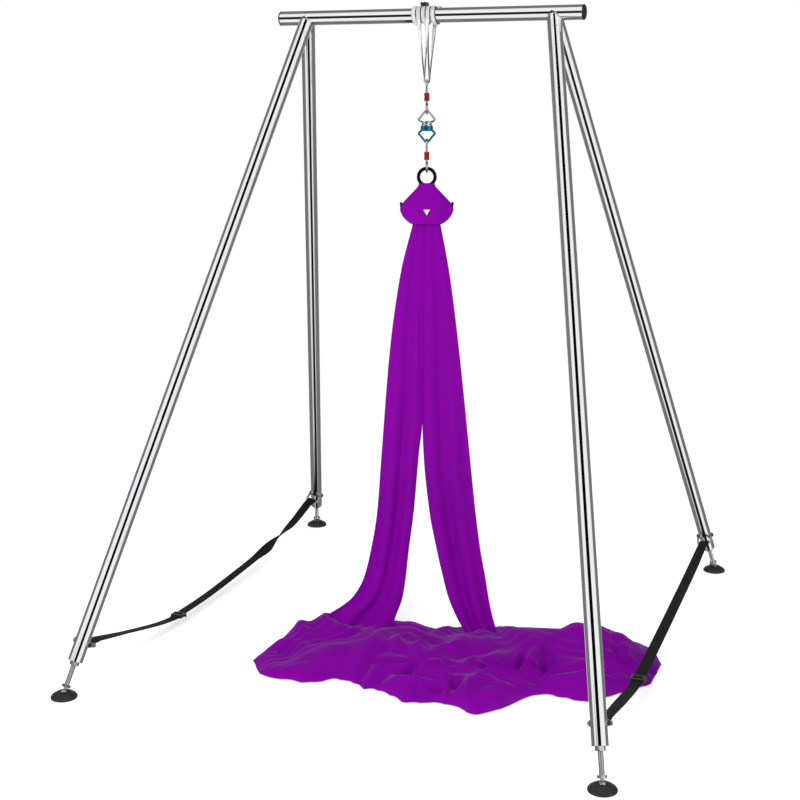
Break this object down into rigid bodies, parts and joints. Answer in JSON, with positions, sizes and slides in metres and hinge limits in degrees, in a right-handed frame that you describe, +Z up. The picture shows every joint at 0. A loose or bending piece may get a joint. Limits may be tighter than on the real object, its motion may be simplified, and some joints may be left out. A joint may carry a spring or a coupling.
{
  "type": "aerial yoga a-frame",
  "caption": "Chromed A-frame with a horizontal top bar, levelling feet and webbing straps; a sling, carabiners, swivel and eight hang a long fabric silk.",
  "frame": {"origin": "on the floor, midway between the feet, under the middle of the top bar", "axes": "+X along the top bar, +Z up, -Y toward the camera side that the picture calls the front"},
  "size_m": [2.495, 2.785, 2.9582],
  "materials": {
    "chrome": "polished chrome plate",
    "zinc_steel": "bright zinc",
    "dark_steel": "black coated",
    "black_plastic": "satin",
    "rubber_foot": "moulded",
    "webbing": "woven polyester",
    "sling_rope": "woven, silver grey",
    "bright_alloy": "polished",
    "red_anodised": "red anodised",
    "blue_anodised": "blue anodised",
    "black_anodised": "black anodised",
    "silk": "smooth tricot, low sheen"
  },
  "bodies": {
    "frame": {"top_bar": "chrome", "bar_cap_left": "black_plastic", "bar_cap_right": "black_plastic", "leg_socket_left": "chrome", "leg_socket_right": "chrome", "leg_front_left": "chrome", "leg_plug_front_left": "zinc_steel", "strap_bracket_front_left": "zinc_steel", "cross_bolt_front_left": "dark_steel", "leg_front_right": "chrome", "leg_plug_front_right": "zinc_steel", "strap_bracket_front_right": "zinc_steel", "cross_bolt_front_right": "dark_steel", "leg_back_left": "chrome", "leg_plug_back_left": "zinc_steel", "strap_bracket_back_left": "zinc_steel", "cross_bolt_back_left": "dark_steel", "leg_back_right": "chrome", "leg_plug_back_right": "zinc_steel", "strap_bracket_back_right": "zinc_steel", "cross_bolt_back_right": "dark_steel", "strap_left": "webbing", "strap_buckle_left": "dark_steel", "strap_right": "webbing", "strap_buckle_right": "dark_steel", "silk_pile": "silk"},
    "foot_ball_front_left": {"foot_ball_front_left": "zinc_steel"},
    "foot_stud_front_left": {"foot_stud_front_left": "zinc_steel"},
    "foot_pad_front_left": {"foot_pad_front_left": "rubber_foot"},
    "foot_ball_front_right": {"foot_ball_front_right": "zinc_steel"},
    "foot_stud_front_right": {"foot_stud_front_right": "zinc_steel"},
    "foot_pad_front_right": {"foot_pad_front_right": "rubber_foot"},
    "foot_ball_back_left": {"foot_ball_back_left": "zinc_steel"},
    "foot_stud_back_left": {"foot_stud_back_left": "zinc_steel"},
    "foot_pad_back_left": {"foot_pad_back_left": "rubber_foot"},
    "foot_ball_back_right": {"foot_ball_back_right": "zinc_steel"},
    "foot_stud_back_right": {"foot_stud_back_right": "zinc_steel"},
    "foot_pad_back_right": {"foot_pad_back_right": "rubber_foot"},
    "buckle_lever_left": {"buckle_lever_left": "dark_steel"},
    "buckle_lever_right": {"buckle_lever_right": "dark_steel"},
    "sling": {"sling": "sling_rope", "sling_knot": "sling_rope"},
    "hanger": {"upper_carabiner_body": "bright_alloy", "upper_carabiner_pin": "zinc_steel", "swivel_upper_bail": "bright_alloy", "swivel_axle": "zinc_steel"},
    "lower_rig": {"swivel_lower_bail": "blue_anodised", "swivel_race": "zinc_steel", "lower_carabiner_body": "bright_alloy", "lower_carabiner_pin": "zinc_steel", "rescue_eight": "black_anodised", "silk_wrap": "silk", "silk_tail_left": "silk", "silk_tail_right": "silk"},
    "upper_gate": {"upper_carabiner_gate": "bright_alloy"},
    "upper_sleeve": {"upper_carabiner_sleeve": "red_anodised"},
    "lower_gate": {"lower_carabiner_gate": "bright_alloy"},
    "lower_sleeve": {"lower_carabiner_sleeve": "red_anodised"}
  },
  "joints": [
    {"name": "foot_height_front_left", "type": "slide", "parent": "frame", "child": "foot_ball_front_left", "axis": [0.1873, 0.4133, 0.8911], "range_m": [-0.025, 0.03]},
    {"name": "foot_screw_front_left", "type": "hinge", "parent": "foot_ball_front_left", "child": "foot_stud_front_left", "pos_m": [-1.19, -1.335, 0.022], "axis": [0.1873, 0.4133, 0.8911], "range_deg": [-3601, 4321]},
    {"name": "foot_tilt_front_left", "type": "hinge", "parent": "foot_ball_front_left", "child": "foot_pad_front_left", "pos_m": [-1.19, -1.335, 0.022], "axis": [-0.9108, 0.4128, 0], "range_deg": [-8, 37]},
    {"name": "foot_height_front_right", "type": "slide", "parent": "frame", "child": "foot_ball_front_right", "axis": [-0.1873, 0.4133, 0.8911], "range_m": [-0.025, 0.03]},
    {"name": "foot_screw_front_right", "type": "hinge", "parent": "foot_ball_front_right", "child": "foot_stud_front_right", "pos_m": [1.19, -1.335, 0.022], "axis": [-0.1873, 0.4133, 0.8911], "range_deg": [-3601, 4321]},
    {"name": "foot_tilt_front_right", "type": "hinge", "parent": "foot_ball_front_right", "child": "foot_pad_front_right", "pos_m": [1.19, -1.335, 0.022], "axis": [-0.9108, -0.4128, 0], "range_deg": [-8, 37]},
    {"name": "foot_height_back_left", "type": "slide", "parent": "frame", "child": "foot_ball_back_left", "axis": [0.1873, -0.4133, 0.8911], "range_m": [-0.025, 0.03]},
    {"name": "foot_screw_back_left", "type": "hinge", "parent": "foot_ball_back_left", "child": "foot_stud_back_left", "pos_m": [-1.19, 1.335, 0.022], "axis": [0.1873, -0.4133, 0.8911], "range_deg": [-3601, 4321]},
    {"name": "foot_tilt_back_left", "type": "hinge", "parent": "foot_ball_back_left", "child": "foot_pad_back_left", "pos_m": [-1.19, 1.335, 0.022], "axis": [0.9108, 0.4128, 0], "range_deg": [-8, 37]},
    {"name": "foot_height_back_right", "type": "slide", "parent": "frame", "child": "foot_ball_back_right", "axis": [-0.1873, -0.4133, 0.8911], "range_m": [-0.025, 0.03]},
    {"name": "foot_screw_back_right", "type": "hinge", "parent": "foot_ball_back_right", "child": "foot_stud_back_right", "pos_m": [1.19, 1.335, 0.022], "axis": [-0.1873, -0.4133, 0.8911], "range_deg": [-3601, 4321]},
    {"name": "foot_tilt_back_right", "type": "hinge", "parent": "foot_ball_back_right", "child": "foot_pad_back_right", "pos_m": [1.19, 1.335, 0.022], "axis": [0.9108, -0.4128, 0], "range_deg": [-8, 37]},
    {"name": "buckle_release_left", "type": "hinge", "parent": "frame", "child": "buckle_lever_left", "pos_m": [-1.15241, -0.388, 0.04215], "axis": [1, 0, 0], "range_deg": [0, 60]},
    {"name": "buckle_release_right", "type": "hinge", "parent": "frame", "child": "buckle_lever_right", "pos_m": [1.15241, -0.501, 0.10215], "axis": [1, 0, 0], "range_deg": [0, 60]},
    {"name": "swing", "type": "hinge", "parent": "frame", "child": "sling", "pos_m": [0, 0, 2.9], "axis": [1, 0, 0], "range_deg": [-30, 30]},
    {"name": "sway", "type": "hinge", "parent": "sling", "child": "hanger", "pos_m": [0, 0, 2.6163], "axis": [-0.342, 0.9397, 0], "range_deg": [-25, 25]},
    {"name": "spin", "type": "hinge", "parent": "hanger", "child": "lower_rig", "pos_m": [0, 0, 2.414], "axis": [0, 0, 1], "continuous": true, "deforming": ["silk_tail_left", "silk_tail_right"]},
    {"name": "upper_gate_open", "type": "hinge", "parent": "hanger", "child": "upper_gate", "pos_m": [0.01129, -0.03101, 2.5108], "axis": [-0.9397, -0.342, 0], "range_deg": [0, 22], "stiffness_Nm_per_rad": 0.1, "springref_deg": -11.46},
    {"name": "upper_sleeve_lock", "type": "slide", "parent": "upper_gate", "child": "upper_sleeve", "axis": [0, 0, -1], "range_m": [-0.02, 0]},
    {"name": "lower_gate_open", "type": "hinge", "parent": "lower_rig", "child": "lower_gate", "pos_m": [0.01129, -0.03101, 2.2488], "axis": [-0.9397, -0.342, 0], "range_deg": [0, 22], "stiffness_Nm_per_rad": 0.1, "springref_deg": -11.46},
    {"name": "lower_sleeve_lock", "type": "slide", "parent": "lower_gate", "child": "lower_sleeve", "axis": [0, 0, -1], "range_m": [-0.02, 0]}
  ],
  "couplings": [
    {"joint": "foot_screw_front_left", "follows": "foot_height_front_left", "rad_per_m": 2513.3},
    {"joint": "foot_screw_front_right", "follows": "foot_height_front_right", "rad_per_m": 2513.3},
    {"joint": "foot_screw_back_left", "follows": "foot_height_back_left", "rad_per_m": 2513.3},
    {"joint": "foot_screw_back_right", "follows": "foot_height_back_right", "rad_per_m": 2513.3}
  ]
}
